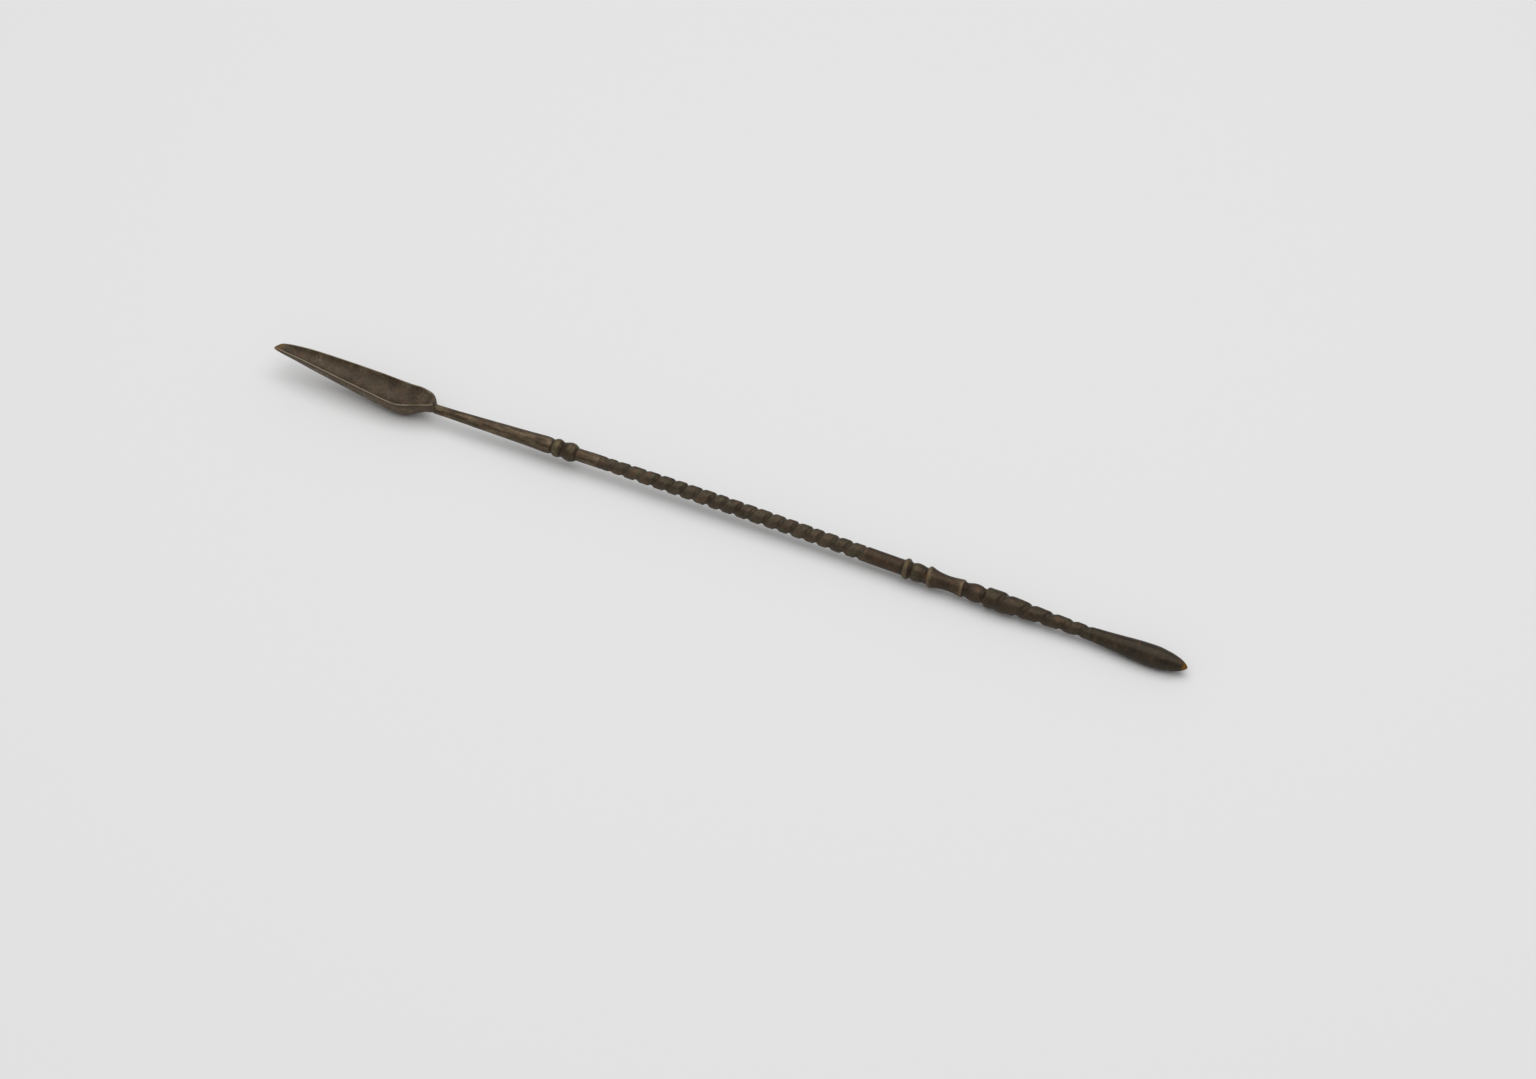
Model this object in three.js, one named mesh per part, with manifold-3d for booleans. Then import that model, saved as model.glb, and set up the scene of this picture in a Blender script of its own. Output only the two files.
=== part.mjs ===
// Scoop probe of patinated bronze: a pointed scoop, a tapering neck, mouldings, a spirally grooved grip,
// a waisted spool, a second tapering spiral and an olive-shaped probe, all along one slightly bent bar.
// Millimetres, +X from the scoop's tip towards the olive, +Z up, resting on the scoop's belly and the olive.

import * as THREE from "three";
import { mergeVertices } from "three/addons/utils/BufferGeometryUtils.js";
import Module from "manifold-3d";

// Driving dimensions: lengths of the stretches of the bar, from the scoop's tip to the olive's tip
const scoopLength = 31.2;
const neckLength = 22.0;
const neckCollarLength = 1.8;
const neckBeadLength = 2.75;
const frontShankLength = 4.15;
const gripLength = 48.4;
const rearShankLength = 6.0;
const rearCollarLength = 1.6;
const rearBeadLength = 2.5;
const spoolLength = 6.8;
const probeBeadLength = 3.4;
const probeTwistLength = 18.3;
const oliveLength = 16.1;

// Driving dimensions: the scoop
const scoopWidth = 5.76;
const scoopWidestFromHeel = 6.9;
const scoopBellyDepth = 3.02;
const scoopBellyFromHeel = 5.6;
const scoopLipWidth = 0.32;
const scoopHeelWall = 0.8;
const scoopTipWall = 0.8;
const scoopHollowShare = 0.58;
const scoopRimAtHeel = 1.4;
const scoopRimAtWidest = 0.77;
const scoopRimAtPoint = 2.25;
const scoopTipDrop = 0.65;
const scoopTipWidth = 0.3;
const scoopTipHeight = 0.35;
const scoopSkew = 0.75;

// Driving dimensions: diameters along the bar
const neckThinDiameter = 1.61;
const neckThickDiameter = 2.78;
const neckSwell = 1.3;
const neckShoulderLength = 1.5;
const neckShoulderDiameter = 2.3;
const neckCollarDiameter = 3.13;
const neckThroatDiameter = 2.4;
const neckBeadDiameter = 3.24;
const frontShankDiameter = 2.1;
const gripThinDiameter = 2.2;
const gripDiameter = 2.57;
const gripSwellLength = 22;
const rearShankDiameter = 2.56;
const rearCollarDiameter = 3.45;
const rearThroatDiameter = 2.48;
const rearBeadDiameter = 3.06;
const spoolThroatDiameter = 2.54;
const spoolFrontRimDiameter = 3.46;
const spoolWaistDiameter = 2.43;
const spoolRearRimDiameter = 2.9;
const probeThroatDiameter = 2.32;
const probeBeadDiameter = 2.95;
const probeTwistThickDiameter = 3.3;
const probeTwistThinDiameter = 2.23;
const oliveDiameter = 3.56;

// Driving dimensions: the spiral grooves, both cut left-handed
const gripPitch = 2.453;
const gripGrooveWidth = 1.5;
const gripGrooveDepth = 0.29;
const gripFirstGroove = 1.19;
const gripCrowding = 1.1;
const gripCrowdingTurns = 1.6;
const gripDrift = 0.35;
const probeTwistFirstPitch = 4.25;
const probeTwistPitchLoss = 0.2;
const probeTwistGrooveWidth = 1.5;
const probeTwistGrooveDepth = 0.27;
const probeTwistFirstGroove = 3.7;
const grooveStartAngle = THREE.MathUtils.degToRad(42);

// Driving dimensions: how the old bar has bent, and the small worn flats that it rests on
const neckSideSet = -0.33;
const shankSideSet = 0.17;
const gripSideSet = 0.35;
const collarSideSet = 0.24;
const probeSideSet = 0.1;
const neckRise = -0.03;
const shankRise = 0.29;
const gripRise = 0.42;
const collarRise = 0.25;
const probeRise = 0.1;
const scoopFlatDepth = 0.12;
const oliveFlatDepth = 0.08;

// Facets round the bar
const roundSegments = 24;
const twistSegments = 20;

// Stations along the bar, counted from the scoop's tip
const neckStart = scoopLength;
const neckCollarStart = neckStart + neckLength;
const neckBeadStart = neckCollarStart + neckCollarLength;
const frontShankStart = neckBeadStart + neckBeadLength;
const gripStart = frontShankStart + frontShankLength;
const rearShankStart = gripStart + gripLength;
const rearCollarStart = rearShankStart + rearShankLength;
const rearBeadStart = rearCollarStart + rearCollarLength;
const spoolStart = rearBeadStart + rearBeadLength;
const probeBeadStart = spoolStart + spoolLength;
const probeTwistStart = probeBeadStart + probeBeadLength;
const oliveStart = probeTwistStart + probeTwistLength;
const barEnd = oliveStart + oliveLength;
const oliveBelly = oliveStart + 0.66 * oliveLength;
const scoopBelly = scoopLength - scoopBellyFromHeel;

const wasm = await Module();
wasm.setup();

const mix = (a, b, t) => a + (b - a) * t;
const clamp = (value) => Math.min(1, Math.max(0, value));
const ease = (t) => clamp(t) ** 2 * (3 - 2 * clamp(t));

// A smooth curve through [station, value] pairs, level beyond its two ends
function curveThrough(points) {
  const slopeAt = (i) => {
    const before = points[Math.max(0, i - 1)];
    const after = points[Math.min(points.length - 1, i + 1)];
    return (after[1] - before[1]) / (after[0] - before[0]);
  };
  return (at) => {
    let i = 0;
    while (i < points.length - 2 && at > points[i + 1][0]) i += 1;
    const [from, to] = [points[i], points[i + 1]];
    const span = to[0] - from[0];
    const t = clamp((at - from[0]) / span);
    const rise = (t ** 3 - 2 * t ** 2 + t) * slopeAt(i) * span;
    const fall = (t ** 3 - t ** 2) * slopeAt(i + 1) * span;
    return mix(from[1], to[1], ease(t)) + rise + fall;
  };
}

// The bar's axis: sideways set, and height over the surface that the probe rests on
const sideOf = curveThrough([
  [0, neckSideSet - 0.5],
  [neckStart, neckSideSet],
  [frontShankStart, shankSideSet],
  [(gripStart + rearShankStart) / 2, gripSideSet],
  [rearCollarStart, collarSideSet],
  [oliveStart, probeSideSet],
  [oliveBelly, 0],
  [barEnd, 0],
]);
const riseOf = curveThrough([
  [0, -0.2],
  [neckStart, neckRise],
  [frontShankStart, shankRise],
  [(gripStart + rearShankStart) / 2, gripRise],
  [rearCollarStart, collarRise],
  [oliveStart, probeRise],
  [oliveBelly, 0],
  [barEnd, 0],
]);
const bellyHeight = scoopBellyDepth - scoopFlatDepth;
const oliveHeight = oliveDiameter / 2 - oliveFlatDepth;
function heightOf(at) {
  const along = (at - scoopBelly) / (oliveBelly - scoopBelly);
  return mix(bellyHeight, oliveHeight, along) + riseOf(at);
}

// Carries a point of the straight bar (along, sideways, upwards) to its place on the bent one
const step = 0.01;
function bentPoint(along, sideways, upwards) {
  const sideSlope = (sideOf(along + step) - sideOf(along - step)) / (2 * step);
  const riseSlope = (heightOf(along + step) - heightOf(along - step)) / (2 * step);
  const tangent = new THREE.Vector3(1, sideSlope, riseSlope).normalize();
  const side = new THREE.Vector3(-tangent.y, tangent.x, 0).normalize();
  const up = new THREE.Vector3().crossVectors(tangent, side);
  return new THREE.Vector3(along, sideOf(along), heightOf(along))
    .addScaledVector(side, sideways)
    .addScaledVector(up, upwards);
}

function bend(geometry) {
  const places = geometry.attributes.position;
  for (let i = 0; i < places.count; i += 1) {
    const point = bentPoint(places.getX(i), places.getY(i), places.getZ(i));
    places.setXYZ(i, point.x, point.y, point.z);
  }
  return geometry;
}

// Closed mesh to solid and back, for the cuts
function solidOf(geometry) {
  const bare = geometry.clone();
  bare.deleteAttribute("normal");
  bare.deleteAttribute("uv");
  const merged = mergeVertices(bare, 1e-4);
  const triangles = [];
  for (let i = 0; i < merged.index.count; i += 3) {
    const [a, b, c] = [0, 1, 2].map((k) => merged.index.getX(i + k));
    if (a !== b && b !== c && c !== a) triangles.push(a, b, c);
  }
  const vertProperties = new Float32Array(merged.attributes.position.array);
  const triVerts = new Uint32Array(triangles);
  return new wasm.Manifold(new wasm.Mesh({ numProp: 3, vertProperties, triVerts }));
}

function geometryOf(solid) {
  const mesh = solid.getMesh();
  const geometry = new THREE.BufferGeometry();
  geometry.setAttribute("position", new THREE.BufferAttribute(new Float32Array(mesh.vertProperties), 3));
  geometry.setIndex(new THREE.BufferAttribute(new Uint32Array(mesh.triVerts), 1));
  return geometry;
}

// A turned stretch: outline points [distance from the start, radius], closed to the axis at both ends
function turned(start, outline) {
  const last = outline[outline.length - 1][0];
  const points = [[0, 0], ...outline, [last, 0]].map(([x, r]) => new THREE.Vector2(r, start + x));
  const geometry = new THREE.LatheGeometry(points, roundSegments);
  const places = geometry.attributes.position;
  for (let i = 0; i < places.count; i += 1) {
    places.setXYZ(i, places.getY(i), places.getZ(i), places.getX(i));
  }
  return geometry;
}

// Outline of a stretch whose radius follows a formula of its share of the length
function swept(length, steps, radiusAt, from = 0) {
  return Array.from({ length: steps + 1 }, (_, i) => [from + (length * i) / steps, radiusAt(i / steps)]);
}

// Outline of a raised ring: round for fullness 1, flatter on top and steeper at its sides below that
function ringOutline(length, startRadius, endRadius, crestRadius, fullness) {
  const steps = 10;
  return Array.from({ length: steps + 1 }, (_, i) => {
    const angle = (Math.PI * i) / steps;
    const t = (1 - Math.cos(angle)) / 2;
    return [length * t, mix(mix(startRadius, endRadius, t), crestRadius, Math.sin(angle) ** fullness)];
  });
}

// The groove's cut at a share of its width from its middle line
const grooveShape = (share) => (Math.abs(share) < 0.5 ? (1 + Math.cos(2 * Math.PI * share)) / 2 : 0);

// A stretch with one left-handed helical groove, meshed along the groove and then cut to its length.
// places(turns) is where the groove's middle line is after so many turns at the start angle.
function grooved(start, length, radiusAt, places, grooveWidth, depthAt, firstTurn, lastTurn) {
  const shares = [-0.5, -0.25, 0, 0.25, 0.5];
  const perTurn = shares.length;
  const count = Math.round((lastTurn - firstTurn) * twistSegments);
  const vertices = [];
  const point = (k, h) => {
    const turns = firstTurn + h / twistSegments;
    const angle = grooveStartAngle - 2 * Math.PI * turns;
    const x = places(turns) + shares[k] * grooveWidth;
    const radius = radiusAt(x) - depthAt(places(turns)) * grooveShape(shares[k]);
    return [x, radius * Math.cos(angle), radius * Math.sin(angle)];
  };
  for (let h = 0; h <= count; h += 1) {
    for (let k = 0; k < perTurn; k += 1) vertices.push(...point(k, h));
  }
  const at = (k, h) => h * perTurn + k;
  const triangles = [];
  const quad = (a, b, c, d) => triangles.push(a, b, c, b, d, c);
  for (let h = 0; h < count; h += 1) {
    for (let k = 0; k < perTurn - 1; k += 1) quad(at(k, h), at(k + 1, h), at(k, h + 1), at(k + 1, h + 1));
    if (h + twistSegments < count) {
      quad(at(perTurn - 1, h), at(0, h + twistSegments), at(perTurn - 1, h + 1), at(0, h + twistSegments + 1));
    }
  }
  const frontLoop = [];
  for (let h = 0; h <= twistSegments; h += 1) frontLoop.push(at(0, h));
  for (let k = perTurn - 1; k > 0; k -= 1) frontLoop.push(at(k, 0));
  const backLoop = [];
  for (let h = count - twistSegments; h <= count; h += 1) backLoop.push(at(perTurn - 1, h));
  for (let k = perTurn - 2; k >= 0; k -= 1) backLoop.push(at(k, count));
  const fan = (loop, x, outwards) => {
    const middle = vertices.length / 3;
    vertices.push(x, 0, 0);
    loop.forEach((a, i) => {
      const b = loop[(i + 1) % loop.length];
      triangles.push(middle, outwards ? b : a, outwards ? a : b);
    });
  };
  fan(frontLoop, places(firstTurn) - grooveWidth, false);
  fan(backLoop, places(lastTurn) + grooveWidth, true);
  const bar = new THREE.BufferGeometry();
  bar.setAttribute("position", new THREE.BufferAttribute(new Float32Array(vertices), 3));
  bar.setIndex(triangles);
  const stock = turned(start, [[0, 2 * gripDiameter], [length, 2 * gripDiameter]]);
  return geometryOf(solidOf(bar).intersect(solidOf(stock)));
}

// A body skinned over rings of equal point count, with a fan closing each end
function skinned(rings) {
  const count = rings[0].length;
  const vertices = rings.flat(2);
  const triangles = [];
  for (let i = 0; i < rings.length - 1; i += 1) {
    for (let j = 0; j < count; j += 1) {
      const [a, b] = [i * count + j, i * count + ((j + 1) % count)];
      triangles.push(a, b, a + count, b, b + count, a + count);
    }
  }
  [0, rings.length - 1].forEach((i) => {
    const middle = vertices.length / 3;
    const centre = [0, 1, 2].map((k) => rings[i].reduce((sum, p) => sum + p[k], 0) / count);
    vertices.push(...centre);
    for (let j = 0; j < count; j += 1) {
      const [a, b] = [i * count + j, i * count + ((j + 1) % count)];
      triangles.push(...(i === 0 ? [middle, b, a] : [middle, a, b]));
    }
  });
  const geometry = new THREE.BufferGeometry();
  geometry.setAttribute("position", new THREE.BufferAttribute(new Float32Array(vertices), 3));
  geometry.setIndex(triangles);
  return geometry;
}

// The worn flat: what lies below the resting plane is cut away
function restingOn(geometry, from, to) {
  const block = new THREE.BoxGeometry(to - from, 3 * scoopWidth, scoopWidth);
  block.translate((from + to) / 2, 0, -scoopWidth / 2);
  return geometryOf(solidOf(geometry).subtract(solidOf(block)));
}

// The scoop in the straight bar's frame: half width, rim height and keel height along it
const scoopWidest = scoopLength - scoopWidestFromHeel;
const neckThinRadius = neckThinDiameter / 2;
const heelEnd = scoopLength - 0.3;
const scoopHalfWidth = curveThrough([
  [0, scoopTipWidth / 2],
  [0.04 * scoopWidest, 0.22 * (scoopWidth / 2)],
  [0.12 * scoopWidest, 0.38 * (scoopWidth / 2)],
  [0.4 * scoopWidest, 0.635 * (scoopWidth / 2)],
  [0.75 * scoopWidest, 0.875 * (scoopWidth / 2)],
  [scoopWidest, scoopWidth / 2],
  [mix(scoopWidest, heelEnd, 0.35), 0.93 * (scoopWidth / 2)],
  [mix(scoopWidest, heelEnd, 0.75), 0.66 * (scoopWidth / 2)],
  [heelEnd, 1.15 * neckThinRadius],
  [scoopLength, neckThinRadius],
]);
const rimHeight = curveThrough([
  [0, scoopRimAtPoint - scoopTipDrop],
  [0.08 * scoopWidest, scoopRimAtPoint - 0.15 * scoopTipDrop],
  [0.25 * scoopWidest, scoopRimAtPoint],
  [0.5 * scoopWidest, mix(scoopRimAtWidest, scoopRimAtPoint, 0.69)],
  [0.8 * scoopWidest, mix(scoopRimAtWidest, scoopRimAtPoint, 0.3)],
  [scoopWidest, scoopRimAtWidest],
  [mix(scoopWidest, heelEnd, 0.5), mix(scoopRimAtWidest, scoopRimAtHeel, 0.4)],
  [heelEnd, scoopRimAtHeel],
  [scoopLength, neckThinRadius],
]);
const keelHeight = curveThrough([
  [0, scoopRimAtPoint - scoopTipDrop - scoopTipHeight],
  [0.15 * scoopBelly, scoopRimAtPoint - 0.3 * (scoopRimAtPoint + scoopBellyDepth)],
  [0.4 * scoopBelly, mix(scoopRimAtPoint, -scoopBellyDepth, 0.57)],
  [0.7 * scoopBelly, mix(scoopRimAtPoint, -scoopBellyDepth, 0.87)],
  [scoopBelly, -scoopBellyDepth],
  [mix(scoopBelly, scoopLength, 0.35), mix(-scoopBellyDepth, -neckThinRadius, 0.12)],
  [mix(scoopBelly, scoopLength, 0.7), mix(-scoopBellyDepth, -neckThinRadius, 0.6)],
  [scoopLength, -neckThinRadius],
]);
const scoopSideways = (x) => scoopSkew * (1 - x / scoopLength) ** 1.2;

function scoopSection(x) {
  const half = scoopHalfWidth(x);
  const roundness = ease((x - heelEnd) / (scoopLength - heelEnd));
  const waist = mix(rimHeight(x), 0, roundness);
  return Array.from({ length: roundSegments }, (_, j) => {
    const angle = (2 * Math.PI * j) / roundSegments;
    const reach = Math.sin(angle) > 0 ? rimHeight(x) - waist : waist - keelHeight(x);
    return [x, scoopSideways(x) + half * Math.cos(angle), waist + reach * Math.sin(angle)];
  });
}

const lipWidth = (x) => mix(scoopLipWidth, scoopHeelWall, ease((x - scoopWidest) / (heelEnd - scoopWidest)));
function hollowHalfWidth(x) {
  const slope = (scoopHalfWidth(x + step) - scoopHalfWidth(x - step)) / (2 * step);
  return scoopHalfWidth(x) - lipWidth(x) * Math.hypot(1, slope);
}
function hollowSection(x) {
  const depth = scoopHollowShare * (rimHeight(x) - keelHeight(x));
  const half = Math.max(0.05, hollowHalfWidth(x));
  const fade = ease((half / scoopWidth) * 4);
  const steps = roundSegments / 2;
  const floor = Array.from({ length: steps + 1 }, (_, j) => {
    const angle = Math.PI + (Math.PI * j) / steps;
    return [x, scoopSideways(x) + half * Math.cos(angle), rimHeight(x) + depth * fade * Math.sin(angle)];
  });
  const above = [1, -1].map((sign) => [x, scoopSideways(x) + sign * half, rimHeight(x) + scoopWidth]);
  return [...floor, ...above];
}

function scoopBowl() {
  const stations = (from, to, count) =>
    Array.from({ length: count + 1 }, (_, i) => mix(from, to, (1 - Math.cos((Math.PI * i) / count)) / 2));
  const heel = [0.25, 0.5, 0.75, 1].map((t) => mix(heelEnd, scoopLength, t));
  const body = skinned([...stations(0, heelEnd, 24), ...heel].map(scoopSection));
  const hollowEnd = heelEnd - 0.55 * scoopHeelWall;
  const hollow = skinned(stations(scoopTipWall, hollowEnd, 22).map(hollowSection));
  const bowl = geometryOf(solidOf(body).subtract(solidOf(hollow)));
  return restingOn(bend(bowl), 0, neckStart);
}

function taperedNeck() {
  const length = neckLength - neckShoulderLength;
  const bar = swept(length, 8, (t) => mix(neckThinDiameter, neckThickDiameter, t ** neckSwell) / 2);
  const fall = (t) => mix(neckShoulderDiameter, neckThickDiameter, Math.cos((Math.PI / 2) * t)) / 2;
  const shoulder = swept(neckShoulderLength, 4, fall, length).slice(1);
  return bend(turned(neckStart, [...bar, ...shoulder]));
}

function neckCollar() {
  const [start, end] = [neckShoulderDiameter / 2, neckThroatDiameter / 2];
  return bend(turned(neckCollarStart, ringOutline(neckCollarLength, start, end, neckCollarDiameter / 2, 1)));
}

function neckBead() {
  const radius = curveThrough([
    [0, neckThroatDiameter / 2],
    [0.3, mix(neckThroatDiameter, neckBeadDiameter, 0.7) / 2],
    [0.55, neckBeadDiameter / 2],
    [0.8, mix(frontShankDiameter, neckBeadDiameter, 0.6) / 2],
    [1, frontShankDiameter / 2],
  ]);
  return bend(turned(neckBeadStart, swept(neckBeadLength, 10, radius)));
}

function frontShank() {
  const radius = (t) => mix(frontShankDiameter, gripThinDiameter, t) / 2;
  return bend(turned(frontShankStart, swept(frontShankLength, 2, radius)));
}

function spiralGrip() {
  const radius = (x) => {
    const share = clamp((x - gripStart) / gripSwellLength);
    return mix(gripThinDiameter, gripDiameter, 1 - (1 - share) ** 2) / 2;
  };
  const turnsInAll = (gripLength - gripFirstGroove) / gripPitch;
  const places = (turns) => {
    const count = Math.max(0, turns);
    const crowded = gripCrowding * count * Math.exp(-count / gripCrowdingTurns);
    const drifted = gripDrift * Math.sin(Math.PI * clamp((count - 5) / (turnsInAll - 5))) ** 2;
    return gripStart + gripFirstGroove + gripPitch * turns - crowded + drifted;
  };
  const depth = (x) => {
    const fadeIn = ease((x - gripStart + 0.5 * gripPitch) / (2 * gripPitch));
    const fadeOut = ease((rearShankStart - x + 0.2 * gripPitch) / gripPitch);
    return gripGrooveDepth * fadeIn * fadeOut;
  };
  const lastTurn = turnsInAll + 2;
  return bend(grooved(gripStart, gripLength, radius, places, gripGrooveWidth, depth, -2, lastTurn));
}

function rearShank() {
  const radius = (t) => mix(gripDiameter, rearShankDiameter, t) / 2;
  return bend(turned(rearShankStart, swept(rearShankLength, 3, radius)));
}

function rearCollar() {
  const [start, end] = [rearShankDiameter / 2, rearThroatDiameter / 2];
  return bend(turned(rearCollarStart, ringOutline(rearCollarLength, start, end, rearCollarDiameter / 2, 0.7)));
}

function rearBead() {
  const [start, end] = [rearThroatDiameter / 2, spoolThroatDiameter / 2];
  return bend(turned(rearBeadStart, ringOutline(rearBeadLength, start, end, rearBeadDiameter / 2, 0.8)));
}

function waistedSpool() {
  const rimEnd = 0.11 * spoolLength;
  const waistAt = 0.57 * spoolLength;
  const rearRimAt = 0.95 * spoolLength;
  const flare = (t) => mix(spoolWaistDiameter, spoolFrontRimDiameter, (1 - t) ** 2) / 2;
  const cone = (t) => mix(spoolWaistDiameter, spoolRearRimDiameter, t ** 1.4) / 2;
  const outline = [
    [0, spoolThroatDiameter / 2],
    ...swept(waistAt - rimEnd, 6, flare, rimEnd),
    ...swept(rearRimAt - waistAt, 5, cone, waistAt).slice(1),
    [0.98 * spoolLength, mix(probeThroatDiameter, spoolRearRimDiameter, 0.85) / 2],
    [spoolLength, mix(probeThroatDiameter, spoolRearRimDiameter, 0.2) / 2],
  ];
  return bend(turned(spoolStart, outline));
}

function probeBead() {
  const radius = curveThrough([
    [0, probeThroatDiameter / 2],
    [0.1, probeThroatDiameter / 2],
    [0.55, probeBeadDiameter / 2],
    [0.93, probeThroatDiameter / 2],
    [1, probeThroatDiameter / 2],
  ]);
  return bend(turned(probeBeadStart, swept(probeBeadLength, 10, radius)));
}

function probeTwist() {
  const shoulder = 0.35;
  const radius = (x) => {
    const along = (x - probeTwistStart) / probeTwistLength;
    const thin = mix(probeTwistThinDiameter, probeTwistThickDiameter, 1 - ease((along - 0.02) / 0.72) ** 0.8);
    return mix(probeThroatDiameter, thin, ease((x - probeTwistStart + 0.1) / shoulder)) / 2;
  };
  const places = (turns) =>
    probeTwistStart + probeTwistFirstGroove + probeTwistFirstPitch * turns - probeTwistPitchLoss * turns ** 2;
  const depth = (x) => probeTwistGrooveDepth * ease((x - probeTwistStart - 0.4) / probeTwistFirstPitch);
  const bar = grooved(
    probeTwistStart, probeTwistLength, radius, places, probeTwistGrooveWidth, depth, -1.6, 5.6,
  );
  return bend(bar);
}

function oliveProbe() {
  const belly = 0.66 * oliveLength;
  const swell = (t) => mix(probeTwistThinDiameter, oliveDiameter, ease(t ** 0.85)) / 2;
  const nose = (t) => (oliveDiameter / 2) * (1 - t ** 2) ** 0.72;
  const noseSteps = [0.2, 0.4, 0.56, 0.7, 0.82, 0.91, 0.965, 0.99];
  const outline = [
    ...swept(belly, 9, swell),
    ...noseSteps.map((t) => [belly + (oliveLength - belly) * t, nose(t)]),
    [oliveLength, 0.08],
  ];
  return restingOn(bend(turned(oliveStart, outline)), oliveStart, barEnd + 1);
}

// Browned bronze, a little redder where it was filed and greener in the grooves
const bronze = (color) => new THREE.MeshStandardMaterial({ color, roughness: 0.42, metalness: 0.85 });
const pieces = [
  ["scoop_bowl", scoopBowl, 0x4e4335],
  ["tapered_neck", taperedNeck, 0x5c4f3d],
  ["neck_collar", neckCollar, 0x4a3c2a],
  ["neck_bead", neckBead, 0x51442f],
  ["front_shank", frontShank, 0x594c3a],
  ["spiral_grip", spiralGrip, 0x443c2e],
  ["rear_shank", rearShank, 0x4b3d30],
  ["rear_collar", rearCollar, 0x4f4334],
  ["rear_bead", rearBead, 0x453b2c],
  ["waisted_spool", waistedSpool, 0x54442f],
  ["probe_bead", probeBead, 0x4a3e2f],
  ["probe_twist", probeTwist, 0x4a3e30],
  ["olive_probe", oliveProbe, 0x423a2d],
];

const probe = new THREE.Group();
for (const [name, make, color] of pieces) {
  const mesh = new THREE.Mesh(make(), bronze(color));
  mesh.name = name;
  probe.add(mesh);
}

// The origin is on the resting plane, under the middle of the probe's box
const box = new THREE.Box3().setFromObject(probe);
probe.position.set(-(box.min.x + box.max.x) / 2, -(box.min.y + box.max.y) / 2, -box.min.z);

export default probe;
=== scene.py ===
import math

import bpy
import numpy as np
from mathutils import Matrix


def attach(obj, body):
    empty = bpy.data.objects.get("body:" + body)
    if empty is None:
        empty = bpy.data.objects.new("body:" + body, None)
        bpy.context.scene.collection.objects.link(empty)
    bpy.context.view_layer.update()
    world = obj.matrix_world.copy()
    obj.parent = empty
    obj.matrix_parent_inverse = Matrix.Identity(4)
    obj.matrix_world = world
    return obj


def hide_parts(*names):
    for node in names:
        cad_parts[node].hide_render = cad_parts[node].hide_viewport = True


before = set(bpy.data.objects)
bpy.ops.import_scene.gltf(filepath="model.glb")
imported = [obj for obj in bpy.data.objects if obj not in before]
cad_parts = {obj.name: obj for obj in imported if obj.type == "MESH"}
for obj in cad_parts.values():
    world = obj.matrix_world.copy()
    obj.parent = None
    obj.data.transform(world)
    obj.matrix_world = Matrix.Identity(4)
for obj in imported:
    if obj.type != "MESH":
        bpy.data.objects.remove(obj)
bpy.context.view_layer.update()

# The probe lies slantwise on a pale table, its scoop away to the left and its olive near on the right.
# A long lens looks down on it from halfway up; the camera is placed from the photograph's perspective.
# Sizes here and in the probe's own sections are in millimetres, which mm turns into metres.
mm = 0.001
bar_side_shift = 0.3259
view_azimuth = math.radians(25.770)
view_elevation = math.radians(45.0)
view_distance = 586.45
view_target = np.array([10.729, -1.428 + bar_side_shift])
camera_data = bpy.data.cameras.new("camera")
camera_data.lens = 85
camera_data.sensor_width = 36
camera_data.clip_start = 0.01
camera_data.clip_end = 50
camera = bpy.data.objects.new("camera", camera_data)
bpy.context.scene.collection.objects.link(camera)
bpy.context.scene.camera = camera
camera.location = [
    mm * (view_target[0] + view_distance * math.sin(view_azimuth) * math.cos(view_elevation)),
    mm * (view_target[1] - view_distance * math.cos(view_azimuth) * math.cos(view_elevation)),
    mm * view_distance * math.sin(view_elevation),
]
camera.rotation_euler = (math.pi / 2 - view_elevation, 0, view_azimuth)


# The scoop: a long pointed bronze bowl, forged from the bar's end and hollowed with a round scraper.
# Its rim is a thin edge, rubbed and with a painted highlight, its heel is blunt, and its point is a little
# askew and worn to bare metal.
# Stations along the whole bar are counted from the scoop's tip towards the olive.
def curve_through(*points):
    """A smooth curve through (station, value) pairs, level beyond its ends."""
    at, value = np.array(points, dtype=float).T
    slope = np.empty_like(value)
    slope[1:-1] = (value[2:] - value[:-2]) / (at[2:] - at[:-2])
    slope[0] = (value[1] - value[0]) / (at[1] - at[0])
    slope[-1] = (value[-1] - value[-2]) / (at[-1] - at[-2])

    def curve(x):
        x = np.clip(np.asarray(x, dtype=float), at[0], at[-1])
        i = np.clip(np.searchsorted(at, x, side="right") - 1, 0, len(at) - 2)
        span = at[i + 1] - at[i]
        t = (x - at[i]) / span
        blend = t * t * (3 - 2 * t)
        rise = (t**3 - 2 * t**2 + t) * slope[i] * span
        fall = (t**3 - t**2) * slope[i + 1] * span
        return value[i] * (1 - blend) + value[i + 1] * blend + rise + fall

    return curve


def ease(t):
    """A soft step from 0 to 1."""
    t = np.clip(t, 0, 1)
    return t * t * (3 - 2 * t)


scoop_belly = 25.6
scoop_length = 31.2
front_shank_start = 57.75
bar_middle = 82.5
grip_middle = 86.1
rear_collar_start = 116.3
olive_start = 148.9
olive_belly = 159.526
bar_end = 165.0
scoop_belly_height = 2.9
olive_belly_height = 1.7

side_of = curve_through(
    (0, -0.83), (scoop_length, -0.33), (front_shank_start, 0.17), (grip_middle, 0.35),
    (rear_collar_start, 0.22), (olive_start, 0.08), (olive_belly, 0), (bar_end, 0),
)
rise_of = curve_through(
    (0, -0.2), (scoop_length, -0.03), (front_shank_start, 0.29), (grip_middle, 0.35),
    (rear_collar_start, 0.2), (olive_start, 0.06), (olive_belly, 0), (bar_end, 0),
)


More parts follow.
